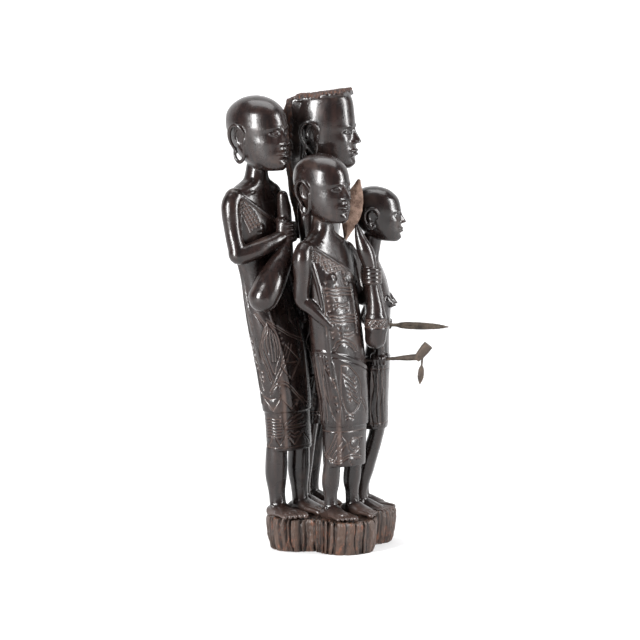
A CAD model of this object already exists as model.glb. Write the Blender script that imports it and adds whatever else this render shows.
"""Four figures carved from one ebony log, with loose wooden pieces in their fists, on a pale floor.

Shapes are worked out in millimetres in the carving's own frame: +X is the way the figures look, +Y is to their
left, +Z is up, and the origin is the middle of the underside. Meshes are stored in metres.
"""
import math

import bpy
import numpy as np
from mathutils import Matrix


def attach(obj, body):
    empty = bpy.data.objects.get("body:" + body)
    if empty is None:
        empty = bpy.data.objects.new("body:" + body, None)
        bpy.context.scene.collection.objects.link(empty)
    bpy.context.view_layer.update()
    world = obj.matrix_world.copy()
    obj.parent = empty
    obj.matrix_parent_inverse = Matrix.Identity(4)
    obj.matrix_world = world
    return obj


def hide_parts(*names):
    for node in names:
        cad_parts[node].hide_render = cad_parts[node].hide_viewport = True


bl_info = {
    "name": "Ebony figure group",
    "version": (1, 0, 0),
    "blender": (4, 5, 0),
    "location": "3D View > Sidebar > Ebony",
    "description": "Builds a carved ebony group of four figures and its loose wooden pieces",
    "category": "Add Mesh",
}

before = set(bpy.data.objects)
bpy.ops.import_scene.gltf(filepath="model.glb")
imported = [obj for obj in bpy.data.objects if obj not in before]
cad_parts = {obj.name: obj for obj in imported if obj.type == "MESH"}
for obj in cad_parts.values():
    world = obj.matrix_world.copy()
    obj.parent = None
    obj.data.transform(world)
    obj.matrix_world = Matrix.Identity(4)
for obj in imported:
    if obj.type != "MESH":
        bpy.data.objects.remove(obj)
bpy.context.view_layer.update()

MM = 0.001
MOST_TRIANGLES = 183000  # of the base and of each figure
MOST_LOOSE = 14000  # triangles of each loose piece
ROUND = 0.88  # how full the robes' sections are: under 1 is fuller than an ellipse

# Where the fists close, as forward, left and up in their figures' own frames, and the way each stick points
LEAF_GRIP, LEAF_WAY = (31, -18, 255), (0.227, 0, 1)
KNIFE_GRIP, KNIFE_WAY = (3, 25, 179), (1.0, -0.02, -0.035)
AXE_GRIP, AXE_WAY = (4, -26, 152), (1.0, -0.06, 0.07)

# Middles and radii of the base's four lobes
BASE_LOBES = [(-35.3, -24.3, 30), (14.5, -38.5, 34), (-16.3, 19.3, 32), (37.5, 13.6, 31)]

# The camera, fitted to the photograph
CAMERA_AT = (-0.00974, -3.2, 0.65)
CAMERA_LOOKS_AT_Z = 0.2185
CAMERA_FOCUS_PX = 3344  # focal length in pixels of a picture PICTURE_PX wide
PICTURE_PX = 640


def hex_linear(text):
    """A linear colour with alpha from an sRGB hex value."""
    srgb = np.array([int(text[i:i + 2], 16) for i in (1, 3, 5)]) / 255.0
    linear = np.where(srgb <= 0.04045, srgb / 12.92, ((srgb + 0.055) / 1.055) ** 2.4)
    return (*linear.tolist(), 1.0)


# Numbers and curves


def bump(x, width):
    """A smooth hump, 1 at x = 0 and falling away over width."""
    return np.exp(-((x / width) ** 2))


def ramp(x, low, high):
    """0 below low, 1 above high, smooth between."""
    t = np.clip((x - low) / (high - low), 0, 1)
    return t * t * (3 - 2 * t)


def stripe(distance, width):
    """The section of one chisel cut: 1 on its line and 0 from width away."""
    return 0.5 + 0.5 * np.cos(np.pi * np.clip(np.abs(distance) / width, 0, 1))


def repeat(x, pitch):
    """Distance from the nearest of lines that stand pitch apart."""
    return (x + pitch / 2) % pitch - pitch / 2


def notch(x, y, size):
    """A small triangular notch, point down, centred on 0, 0."""
    inside = np.minimum(size * 0.5 - y, (y + size * 0.6 - np.abs(x) * 1.5))
    return np.clip(inside / (size * 0.35), 0, 1)


def clouds(points, size, seed):
    """Smooth noise from 0 to 1 with blobs of about size: a lattice of seeded numbers, blended between its points."""
    lattice = np.random.default_rng(seed).random((32, 32, 32))
    at = points / size
    low = np.floor(at).astype(int)
    t = at - low
    t = t * t * (3 - 2 * t)
    total = np.zeros(len(points))
    for corner in range(8):
        step = np.array([corner & 1, corner >> 1 & 1, corner >> 2 & 1])
        share = np.prod(np.where(step, t, 1 - t), axis=1)
        i, j, k = ((low + step) % 32).T
        total += share * lattice[i, j, k]
    return total


def smooth_rows(rows, steps):
    """Points on a Catmull-Rom curve through rows of numbers, evenly shared between the rows."""
    rows = np.asarray(rows, float)
    ends = np.vstack([2 * rows[0] - rows[1], rows, 2 * rows[-1] - rows[-2]])
    spans = len(rows) - 1
    at = np.linspace(0, spans, spans * steps + 1)
    span = np.minimum(at.astype(int), spans - 1)
    t = (at - span)[:, None]
    a, b, c, d = (ends[span + k] for k in range(4))
    return 0.5 * (2 * b + (c - a) * t + (2 * a - 5 * b + 4 * c - d) * t**2 + (3 * b - a - 3 * c + d) * t**3)


def unit(vectors):
    """Each vector divided by its length."""
    return vectors / np.maximum(np.linalg.norm(vectors, axis=-1, keepdims=True), 1e-9)


# Clay: closed skins gathered before they are fused


class Clay:
    """Closed skins over rings of points, gathered as arrays of points and triangles."""

    def __init__(self):
        self.points, self.faces, self.count = [], [], 0

    def skin(self, rings):
        """Rings (rows, sides, 3) become a closed tube: two triangles to a cell, and a fan at each end."""
        rows, sides = rings.shape[:2]
        points = np.vstack([rings.reshape(-1, 3), rings[0].mean(0), rings[-1].mean(0)])
        i, j = np.meshgrid(np.arange(rows - 1), np.arange(sides), indexing="ij")
        a = i * sides + j
        b = i * sides + (j + 1) % sides
        cells = np.stack([np.stack([a, b, b + sides], -1), np.stack([a, b + sides, a + sides], -1)])
        k = np.arange(sides)
        first, last = rows * sides, rows * sides + 1
        near = np.stack([np.full(sides, first), (k + 1) % sides, k], -1)
        far_row = (rows - 1) * sides
        far = np.stack([np.full(sides, last), far_row + k, far_row + (k + 1) % sides], -1)
        faces = np.vstack([cells.reshape(-1, 3), near, far])
        a, b, c = (points[faces[:, n]] for n in range(3))
        if np.einsum("ij,ij->i", a, np.cross(b, c)).sum() < 0:
            faces = faces[:, ::-1]
        self.points.append(points)
        self.faces.append(faces + self.count)
        self.count += len(points)

    def tube(self, rows, across=(0, 0, 1), steps=8, sides=28, square=2.0, rounded=True):
        """A section carried along a smooth path: rows are x, y, z and the half sizes along and across.
        The ends are rounded or flat."""
        rows = np.array([row if len(row) == 5 else (*row, row[3]) for row in rows], float)
        line = smooth_rows(rows, steps)
        points, sizes = line[:, :3], np.maximum(line[:, 3:], 0.12)
        ahead = unit(np.gradient(points, axis=0))
        caps = np.radians([84, 70, 54, 38, 22, 8] if rounded else [])
        ends = len(caps)
        at = np.concatenate([np.zeros(ends, int), np.arange(len(points)), np.full(ends, len(points) - 1)])
        shift = np.concatenate([-np.sin(caps), np.zeros(len(points)), np.sin(caps[::-1])])
        shrink = np.concatenate([np.cos(caps), np.ones(len(points)), np.cos(caps[::-1])])
        ahead, size = ahead[at], sizes[at]
        middle = points[at] + ahead * (shift * size.min(1))[:, None]
        size = size * shrink[:, None]
        across = np.asarray(across, float)
        side = unit(across - (ahead @ across)[:, None] * ahead)
        other = np.cross(ahead, side)
        angle = np.linspace(0, math.tau, sides, endpoint=False)
        c, s = (np.sign(v) * np.abs(v) ** (2 / square) for v in (np.cos(angle), np.sin(angle)))
        self.skin(middle[:, None] + size[:, 0, None, None] * c[None, :, None] * side[:, None]
                  + size[:, 1, None, None] * s[None, :, None] * other[:, None])

    def ball(self, centre, sizes):
        """An ellipsoid on two angles."""
        v = np.linspace(0.06, math.pi - 0.06, 20)[:, None]
        a = np.linspace(0, math.tau, 28, endpoint=False)[None]
        unit_ball = np.stack([np.sin(v) * np.cos(a), np.sin(v) * np.sin(a), np.cos(v) + 0 * a], -1)
        self.skin(np.asarray(centre) + unit_ball * np.asarray(sizes))

    def mesh(self, name):
        """All skins as one mesh."""
        return mesh_from_arrays(name, np.vstack(self.points), np.vstack(self.faces))


def mesh_from_arrays(name, points, faces):
    """A mesh in metres from points in millimetres and triangles."""
    mesh = bpy.data.meshes.new(name)
    mesh.vertices.add(len(points))
    mesh.vertices.foreach_set("co", (points * MM).astype(np.float32).ravel())
    mesh.loops.add(len(faces) * 3)
    mesh.loops.foreach_set("vertex_index", faces.astype(np.int32).ravel())
    mesh.polygons.add(len(faces))
    mesh.polygons.foreach_set("loop_start", (np.arange(len(faces)) * 3).astype(np.int32))
    mesh.update(calc_edges=True)
    mesh.validate()
    return mesh


def read_points(mesh):
    """Points and normals of a mesh, in millimetres."""
    points = np.empty(len(mesh.vertices) * 3, np.float32)
    normals = np.empty(len(mesh.vertices) * 3, np.float32)
    mesh.vertices.foreach_get("co", points)
    mesh.vertices.foreach_get("normal", normals)
    return points.reshape(-1, 3).astype(float) / MM, normals.reshape(-1, 3).astype(float)


def baked(piece):
    """The piece's modifiers made part of its mesh."""
    graph = bpy.context.evaluated_depsgraph_get()
    mesh = bpy.data.meshes.new_from_object(piece.evaluated_get(graph))
    old = piece.data
    piece.modifiers.clear()
    piece.data = mesh
    bpy.data.meshes.remove(old)
    return piece


def fused(name, clay, grain, carve, limit=MOST_TRIANGLES, soften=3):
    """Clay fused into one skin of that grain, smoothed, carved along its normals, then thinned under limit.
    carve(points) gives the height in mm, and the shares of each point that are cut in and left raw."""
    mesh = clay.mesh(name)
    piece = bpy.data.objects.new(name, mesh)
    bpy.context.scene.collection.objects.link(piece)
    remesh = piece.modifiers.new("fuse", "REMESH")
    remesh.mode = "VOXEL"
    remesh.voxel_size = grain * MM
    remesh.use_smooth_shade = True
    smooth = piece.modifiers.new("smooth", "SMOOTH")
    smooth.factor = 0.5
    smooth.iterations = soften
    baked(piece)
    points, normals = read_points(piece.data)
    height, _, _ = carve(points)
    piece.data.vertices.foreach_set("co", ((points + normals * height[:, None]) * MM).astype(np.float32).ravel())
    piece.data.update()
    triangles = len(piece.data.polygons) * 2
    if triangles > limit:
        thin = piece.modifiers.new("thin", "DECIMATE")
        thin.ratio = limit / triangles
        baked(piece)
    points, _ = read_points(piece.data)
    _, cut, raw = carve(points)
    for label, values in (("cut", cut), ("raw", raw)):
        attribute = piece.data.attributes.new(label, "FLOAT", "POINT")
        attribute.data.foreach_set("value", values.astype(np.float32))
    piece.data.shade_smooth()
    return piece


# Figures


class Figure:
    """One figure's own frame: f forward, l to its left and u up, from the point between its feet on the base."""

    def __init__(self, stand, ground, facing, height, drawn_height, spine):
        self.foot = np.array([*stand, ground], float)
        self.facing = facing
        self.scale = height / drawn_height
        turn = math.radians(facing)
        self.forward = np.array([math.cos(turn), math.sin(turn), 0.0])
        self.left = np.array([-math.sin(turn), math.cos(turn), 0.0])
        self.spine = np.array(spine, float)
        self.clay = Clay()
        self.sections = None

    def at(self, f, l, u):
        """A place in the figure's frame, in the carving's millimetres."""
        return self.foot + self.scale * (f * self.forward + l * self.left + np.array([0, 0, u]))

    def by_spine(self, f, l, u):
        """The same, counted from the spine, which leans with u."""
        lean_f = np.interp(u, self.spine[:, 0], self.spine[:, 1])
        lean_l = np.interp(u, self.spine[:, 0], self.spine[:, 2])
        return self.at(f + lean_f, l + lean_l, u)

    def limb(self, *points, across=None, **options):
        """A tube through points counted from the spine, each with its half sizes."""
        rows = [(*self.by_spine(*p[:3]), *(self.scale * size for size in p[3:])) for p in points]
        self.clay.tube(rows, across=self.left if across is None else across, **options)

    def trunk(self, sections):
        """Body and robe: rounded sections on u and the angle round the spine."""
        self.sections = smooth_rows(sections, 14)
        angle = np.linspace(0, math.tau, 96, endpoint=False)
        c, s = (np.sign(v) * np.abs(v) ** ROUND for v in (np.cos(angle), np.sin(angle)))
        u, width, depth, ahead = self.sections.T
        lean_f = np.interp(u, self.spine[:, 0], self.spine[:, 1]) + ahead
        lean_l = np.interp(u, self.spine[:, 0], self.spine[:, 2])
        f = lean_f[:, None] + depth[:, None] * c
        l = lean_l[:, None] + width[:, None] * s
        up = np.broadcast_to(u[:, None], f.shape)
        self.clay.skin(self.foot + self.scale * (f[..., None] * self.forward + l[..., None] * self.left
                                                 + up[..., None] * np.array([0, 0, 1.0])))

    def ridge(self, path, radius, sink=0.3, steps=6):
        """A raised fold or edge on the robe through (degrees from the front, u)."""
        heights, width, depth, ahead = self.sections.T
        degrees, u = smooth_rows(path, steps).T
        a = np.radians(degrees)
        s, c = (np.sign(v) * np.abs(v) ** ROUND for v in (np.sin(a), np.cos(a)))
        w = np.interp(u, heights, width) - sink * radius
        d = np.interp(u, heights, depth) - sink * radius
        rows = np.stack([np.interp(u, heights, ahead) + d * c, w * s, u, np.full_like(u, radius)], 1)
        self.limb(*rows, across=(0, 0, 1), steps=2, sides=14)

    def edge(self, low, high, high_at, radius):
        """A slanted edge all round the robe, highest at the angle high_at."""
        a = np.arange(-180, 190, 15)
        middle, swing = (high + low) / 2, (high - low) / 2
        self.ridge(np.stack([a, middle + swing * np.cos(np.radians(a - high_at))], 1), radius, steps=2)

    def cloth(self, points):
        """For points: u, distance s round the body from its front, the angle in degrees, and height off the robe."""
        rel = (points - self.foot) / self.scale
        u = rel[:, 2]
        heights, width, depth, ahead = self.sections.T
        w, d = np.interp(u, heights, width), np.interp(u, heights, depth)
        f = rel @ self.forward - np.interp(u, self.spine[:, 0], self.spine[:, 1]) - np.interp(u, heights, ahead)
        l = rel @ self.left - np.interp(u, self.spine[:, 0], self.spine[:, 2])
        across, along = l / np.maximum(w, 1), f / np.maximum(d, 1)
        reach = np.hypot(across, along)
        a = np.arctan2(np.sign(across) * np.abs(across) ** (1 / ROUND), np.sign(along) * np.abs(along) ** (1 / ROUND))
        full = np.hypot(np.abs(np.sin(a)) ** ROUND, np.abs(np.cos(a)) ** ROUND)
        off = np.hypot(f, l) * (1 - full / np.maximum(reach, 1e-6))
        return u, a * (w + d) / 2, np.degrees(a), off

    def legs(self, knee_u, hem_u, spread, radius, toe_turn=8.0):
        """Legs with knees, ankle bones, feet and toes."""
        for side in (-1, 1):
            out = side * spread
            self.limb((0, out, 6, radius * 0.86), (-2, out, 22, radius * 0.84),
                      (-3, out, 0.55 * knee_u, radius * 1.12), (0, out, knee_u, radius),
                      (0, out * 0.95, hem_u + 14, radius * 1.2))
            turn = math.radians(side * toe_turn)
            ahead, left = np.array([math.cos(turn), math.sin(turn)]), np.array([-math.sin(turn), math.cos(turn)])

            def spot(reach, aside=0.0):
                """A point of the foot: reach along it and aside across it, turned with its toes."""
                f, l = ahead * reach + left * aside
                return f, out + l

            wide = radius / 8.6
            self.limb((*spot(-7), 4, 7.5 * wide, 6.5), (*spot(2), 6, 8.6 * wide, 8.0),
                      (*spot(11), 4.8, 9.6 * wide, 5.8), (*spot(16.5), 3.8, 10.4 * wide, 4.2))
            for bone in (-1, 1):
                self.clay.ball(self.by_spine(-1, out + bone * radius * 0.74, 10), (2.8, 2.8, 2.8))
            for toe in range(5):
                aside = -side * (9.4 - toe * 4.6) * wide
                size = (2.6 if toe == 0 else 2.1 - toe * 0.07) * wide
                reach = 28.5 - toe * 1.6
                self.limb((*spot(reach - 14, aside * 0.9), 4.6, size * 1.1),
                          (*spot(reach - 7, aside * 0.97), 4.0, size * 0.95),
                          (*spot(reach - 2, aside), 3.0, size * 1.08),
                          (*spot(reach, aside), 2.4, size), steps=4, sides=16)


def face_height(y, z):
    """How far a calm, evenly proportioned face stands out, in head heights: a sum of smooth humps on y, from its
    middle line, and z, up from the chin. Eyes are at half height, the nose ends at a third, and the mouth is a
    fifth of the way up."""
    side = np.abs(y)
    h = -0.034 * bump(side - 0.118, 0.062) * bump(z - 0.492, 0.044)
    h += 0.020 * bump(z - 0.566 + 0.9 * (side - 0.10) ** 2, 0.024) * bump(side - 0.12, 0.105)
    ball = 1 - ((side - 0.122) / 0.064) ** 2 - ((z - 0.488) / 0.036) ** 2
    h += 0.030 * np.sqrt(np.clip(ball, 0, 1))
    reach = np.clip(1 - ((side - 0.122) / 0.066) ** 2, 0, 1)
    opening = (side > 0.056) & (side < 0.188)
    h += opening * 0.010 * (bump(z - 0.488 - 0.026 * reach, 0.0075) + bump(z - 0.488 + 0.021 * reach, 0.0065))
    h -= opening * 0.007 * bump(z - 0.488 - 0.039 * reach, 0.006)
    rise = np.clip((0.565 - z) / 0.20, 0, 1) ** 1.25 * ramp(z, 0.312, 0.352)
    h += 0.098 * rise * bump(y, 0.030 + 0.026 * np.clip((0.50 - z) / 0.15, 0, 1))
    h += 0.046 * bump(side - 0.060, 0.024) * bump(z - 0.349, 0.023)
    h -= 0.022 * bump(side - 0.030, 0.012) * bump(z - 0.323, 0.009)
    h += 0.026 * bump(y, 0.13) * bump(z - 0.215, 0.065)
    width = np.sqrt(np.clip(1 - (y / 0.118) ** 2, 0, 1))
    h += 0.030 * width * bump(z - 0.239 - 0.006 * bump(side - 0.028, 0.02), 0.0155)
    h += 0.033 * np.sqrt(np.clip(1 - (y / 0.104) ** 2, 0, 1)) * bump(z - 0.187, 0.0185)
    h -= 0.016 * (width > 0) * bump(z - 0.2145, 0.0055)
    h -= 0.010 * bump(y, 0.012) * bump(z - 0.285, 0.026)
    h -= 0.014 * bump(y, 0.085) * bump(z - 0.143, 0.020)
    h += 0.026 * bump(y, 0.085) * bump(z - 0.070, 0.045)
    return h + 0.014 * bump(side - 0.200, 0.070) * bump(z - 0.375, 0.075)


HEAD_OUTLINE = [
    (0.00, 0.255, 0.115, 0.10), (0.05, 0.175, 0.235, 0.185), (0.16, 0.095, 0.335, 0.255),
    (0.30, 0.035, 0.400, 0.300), (0.46, -0.010, 0.440, 0.325), (0.62, -0.035, 0.462, 0.340),
    (0.78, -0.050, 0.430, 0.318), (0.90, -0.060, 0.325, 0.245), (0.97, -0.060, 0.190, 0.145),
    (1.00, -0.060, 0.060, 0.045),
]


# The same head squared off at the top, where it goes up into the flat end of the log
SQUARED_OUTLINE = HEAD_OUTLINE[:6] + [
    (0.76, -0.030, 0.445, 0.330), (0.88, -0.022, 0.420, 0.312), (0.95, -0.018, 0.390, 0.285),
    (0.99, -0.020, 0.340, 0.235), (1.00, -0.020, 0.150, 0.110),
]


def head(figure, middle, chin_u, height, tilt=0.0, lobes=True, outline=HEAD_OUTLINE):
    """A head on height and angle: rounded sections, with the face stood out along the way it looks, and two ears."""
    base = figure.at(middle[0], middle[1], chin_u)
    way, nod, size = math.radians(figure.facing), math.radians(tilt), height * figure.scale
    ahead = np.array([math.cos(way) * math.cos(nod), math.sin(way) * math.cos(nod), math.sin(nod)])
    left = np.array([-math.sin(way), math.cos(way), 0.0])
    up = np.cross(ahead, left)

    def place(f, l, u):
        """A place on the head, in head heights from the chin."""
        return base + size * (f * ahead + l * left + u * up)

    u, middle_f, half_length, half_width = smooth_rows(outline, 22).T
    angle = np.linspace(0, math.tau, 300, endpoint=False)
    y = half_width[:, None] * np.sin(angle)
    f = middle_f[:, None] + half_length[:, None] * np.cos(angle)
    z = np.broadcast_to(u[:, None], f.shape)
    f = f + face_height(y, z) * ramp(np.cos(angle), 0.05, 0.45)[None]
    figure.clay.skin(base + size * (f[..., None] * ahead + y[..., None] * left + z[..., None] * up))

    def feature(rows, across, **options):
        """A tube on the head through places in head heights."""
        figure.clay.tube([(*place(*r[:3]), *(size * v for v in r[3:])) for r in rows], across=across, sides=16,
                         **options)

    for side in (-1, 1):
        feature([(0.040, side * 0.306, 0.45, 0.018), (0.030, side * 0.338, 0.535, 0.023),
                 (-0.030, side * 0.366, 0.610, 0.026), (-0.120, side * 0.376, 0.618, 0.027),
                 (-0.190, side * 0.372, 0.540, 0.027), (-0.200, side * 0.352, 0.430, 0.025),
                 (-0.165, side * 0.326, 0.330, 0.022), (-0.135, side * 0.312, 0.270, 0.021)], up)
        feature([(0.000, side * 0.326, 0.560, 0.013), (-0.070, side * 0.346, 0.575, 0.016),
                 (-0.125, side * 0.346, 0.500, 0.016), (-0.110, side * 0.330, 0.410, 0.014),
                 (-0.060, side * 0.318, 0.365, 0.012)], up)
        feature([(-0.09, side * 0.314, 0.52, 0.085, 0.020), (-0.10, side * 0.308, 0.40, 0.065, 0.018)], ahead)
        feature([(0.035, side * 0.312, 0.455, 0.019), (0.022, side * 0.318, 0.415, 0.021),
                 (0.010, side * 0.316, 0.375, 0.016)], up)
        if lobes:
            feature([(-0.150, side * 0.316, 0.32, 0.024), (-0.165, side * 0.308, 0.21, 0.023),
                     (-0.105, side * 0.300, 0.135, 0.026), (-0.030, side * 0.296, 0.18, 0.024),
                     (-0.002, side * 0.300, 0.28, 0.020), (0.006, side * 0.308, 0.37, 0.018)], up)
        else:
            feature([(-0.120, side * 0.318, 0.34, 0.040), (-0.095, side * 0.312, 0.27, 0.044),
                     (-0.050, side * 0.308, 0.29, 0.034)], up)
    return place, size, ahead, left, up


def fist(clay, centre, grip, palm, radius, scale=1.0, turn=1.0):
    """A closed hand round what runs along grip: four fingers and a thumb carried round it.
    The fingers follow the right-hand rule, or the other way where turn is -1."""
    grip = unit(np.asarray(grip, float))
    palm = np.asarray(palm, float)
    palm = unit(palm - np.dot(palm, grip) * grip)
    side = np.cross(grip, palm) * turn
    centre = np.asarray(centre, float)
    around = radius + 2.0 * scale
    back = [centre + palm * around * 0.72 - side * 1.2 * scale + grip * reach * scale for reach in (-5.6, 0.0, 5.6)]
    rows = [(*spot, 5.8 * scale, wide * scale) for spot, wide in zip(back, (4.0, 4.4, 4.0))]
    clay.tube(rows, across=side, sides=24)
    for k in (-1.5, -0.5, 0.5, 1.5):
        a = np.radians([0, 40, 80, 120, 160, 205])
        spots = centre + grip * 3.7 * scale * k + around * (np.cos(a)[:, None] * palm + np.sin(a)[:, None] * side)
        sizes = np.array([2.3, 2.35, 2.1, 2.1, 1.95, 1.8]) * scale
        clay.tube(np.column_stack([spots, sizes]), across=grip, sides=16, steps=5)
    a = np.array([0.1, 0.9, 1.8])
    spots = centre + grip * 3.7 * scale * 2.4 + around * (np.cos(a)[:, None] * palm - np.sin(a)[:, None] * side)
    clay.tube(np.column_stack([spots, np.array([2.6, 2.5, 2.1]) * scale]), across=grip, sides=16, steps=6)


# The four figures, on the same sizes and places as the solids


def tall_woman(sizes):
    """The robed woman: trunk sections on u and the angle round the spine, and tubes for the rest."""
    spine = [(0, 0, 0), (63, 0, 0), (112, -2, -2), (160, -7.5, -6.5), (208, -15, -13), (257, -22, -19),
             (305, -25, -21), (325, -24, -20.5), (345, -22.5, -20)]
    w = Figure((-39.0, -21.0), sizes.base_height / MM, -42, sizes.tall_woman_height / MM, 404.0, spine)
    w.legs(knee_u=80, hem_u=64, spread=16, radius=9.6)
    w.trunk([(64, 25, 14, 0), (68, 26, 15, 0), (100, 26.5, 16, 0), (104, 28, 17.5, 0), (135, 28.5, 19, 1),
             (165, 29, 20, 1), (195, 28.5, 18.5, 1), (228, 26, 15.5, 0), (255, 29, 15, 0), (285, 32, 16.5, 1),
             (306, 33.5, 14.4, 0), (316, 28, 12.8, 0), (321, 19, 11.5, 0), (326, 12, 10.8, 0), (338, 9.8, 10, 0),
             (352, 9.6, 10.2, 1)])
    head(w, (-19, -19), 332, 72, tilt=4)
    for side in (-1, 1):
        w.limb((6, side * 12, 286, 8.0), (10, side * 12, 279, 8.0), (11, side * 12, 274, 6.0))
        w.limb((7, side * 5, 316, 1.6), (11, side * 16, 313, 1.9), (6, side * 27, 311, 1.8))
    w.edge(262, 313, -85, 1.7)
    w.ridge([(-38, 200), (-30, 160), (-22, 108)], 1.8)
    w.ridge([(-112, 262), (-104, 225), (-96, 180), (-92, 150)], 2.0)
    w.ridge([(28, 190), (22, 150), (18, 108)], 1.6)
    w.ridge([(-128, 240), (-120, 190), (-112, 110)], 1.7)
    w.limb((0, -29, 308, 9.6), (1, -35.5, 299, 9.4), (3, -37, 278, 8.4), (7, -38, 261, 8.4), (9, -38, 254, 8.6),
           (19, -26, 259, 8.8), (25, -10, 265, 8.0), (28, 2, 270, 7.0), (28, 8, 274, 7.2))
    w.limb((0, 30, 303, 9.5), (-1, 37, 292, 9.3), (-3, 38, 270, 8.4), (-3, 37, 245, 7.8), (1, 34, 218, 6.6),
           (6, 33, 198, 5.4), (9, 32, 186, 6.4, 3.6))
    w.limb((28, 8, 309, 5.2), (28, 9, 298, 6.4), (28, 9.5, 287, 6.6), (28.5, 9.5, 276, 5.6), (30, 7, 265, 6.2),
           (31, 0, 253, 9.2), (30, -11, 241, 12.0), (27, -23, 226, 14.4), (24, -31, 215, 14.6))
    fist(w.clay, w.by_spine(28, 10, 275), (0, 0, 1), -w.left + w.forward * 0.6, 5.5, 1.25)
    return w


def girl(sizes):
    """The robed girl, made the same way, with a horn above her gourd."""
    spine = [(0, 0, 0), (49, 2.5, 1), (92, 3, 1), (112, 2, 0.5), (151, 0, -2.5), (189, -2, -7.5), (227, -6, -10),
             (257, -9, -13), (276, -11, -15), (292, -10, -15)]
    g = Figure((11.0, -35.0), sizes.base_height / MM, -45, sizes.girl_height / MM, 350.0, spine)
    g.legs(knee_u=66, hem_u=50, spread=14.5, radius=7.6)
    g.trunk([(51, 21.5, 15.5, 0), (55, 22.5, 16.5, 0), (88, 24, 16.5, 0), (92, 25.5, 18, 0), (115, 26.5, 19, 0),
             (150, 28, 20.5, -1), (170, 28, 20, 0), (192, 27.8, 19.2, 1), (222, 28.5, 17.5, 1), (245, 30, 16, 0),
             (257, 30, 14, 0), (266, 26, 12.5, 0), (272, 17, 11.5, 0), (278, 11, 10.4, 0), (288, 9.8, 9.8, 0),
             (300, 9.6, 9.8, 1)])
    head(g, (-9, -14), 284, 66, tilt=3)
    for side in (-1, 1):
        g.limb((6, side * 11, 238, 8.0), (10, side * 11, 231, 8.4), (11, side * 11, 226, 6.2))
        g.limb((7, side * 4, 268, 1.5), (10, side * 14, 266, 1.7), (5, side * 24, 264, 1.6))
        g.limb((3, side * 7.5, 292, 1.4), (7, side * 5.5, 281, 1.5), (9.5, side * 2.5, 270, 1.3))
    g.edge(222, 266, -85, 1.5)
    g.ridge([(-68, 256), (-62, 225), (-58, 195), (-57, 160), (-54, 132)], 2.6)
    g.edge(139, 163, -75, 1.6)
    g.edge(134, 158, -75, 1.0)
    g.ridge([(-52, 152), (-48, 125), (-42, 94)], 1.7)
    g.ridge([(-72, 158), (-70, 125), (-66, 94)], 1.9)
    g.ridge([(-96, 160), (-92, 125), (-88, 94)], 1.7)
    g.ridge([(-84, 160), (-81, 125), (-77, 94)], 1.3)
    g.limb((0, -27, 260, 8.8), (1, -33.5, 252, 9.0), (-1, -35, 234, 7.8), (-4, -36, 219, 7.4), (-4, -34, 211, 7.2),
           (3, -30, 204, 6.2), (9, -26, 196, 5.4), (14, -19, 189, 6.0, 4.0))
    g.limb((0, 27, 256, 8.6), (0, 33, 246, 8.4), (-2, 37, 228, 7.4), (0, 38, 212, 7.2), (7, 38, 209, 6.9),
           (17, 36, 220, 6.0), (24, 33, 230, 5.6))
    g.limb((20, 26, 280, 2.2), (22, 27, 270, 5.0), (24.5, 28.5, 258, 7.9), (26, 30, 247, 7.4), (27, 31, 233, 5.4),
           (26.5, 31, 220, 5.6), (26, 31.5, 203, 8.2), (24.5, 30.5, 184, 10.6), (22.5, 29.5, 172, 10.2))
    g.limb((25.1, 30.9, 192, 10.6), (24.8, 30.7, 187, 11.3), (24.5, 30.5, 183, 11.5), across=g.left)
    fist(g.clay, g.by_spine(27, 30.5, 233), (0, 0, 1), g.left, 5.4, 1.05, turn=-1.0)
    return g


# The log's own surface, left on the man: down his back and neck, and over the flat top of his head, in head heights
RAW_BACK = [(-0.24, 0, -0.95, 0.20, 0.10), (-0.27, 0, -0.60, 0.23, 0.11), (-0.31, 0, -0.35, 0.25, 0.125),
            (-0.335, 0, 0.0, 0.27, 0.14), (-0.350, 0, 0.4, 0.285, 0.155), (-0.350, 0, 0.74, 0.29, 0.155),
            (-0.315, 0, 0.91, 0.28, 0.135)]
RAW_TOP = [(-0.38, 0, 0.895, 0.27, 0.06), (-0.25, 0, 0.930, 0.285, 0.06), (0, 0, 0.970, 0.285, 0.06),
           (0.20, 0, 1.002, 0.25, 0.06), (0.345, 0, 1.024, 0.20, 0.06)]


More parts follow.
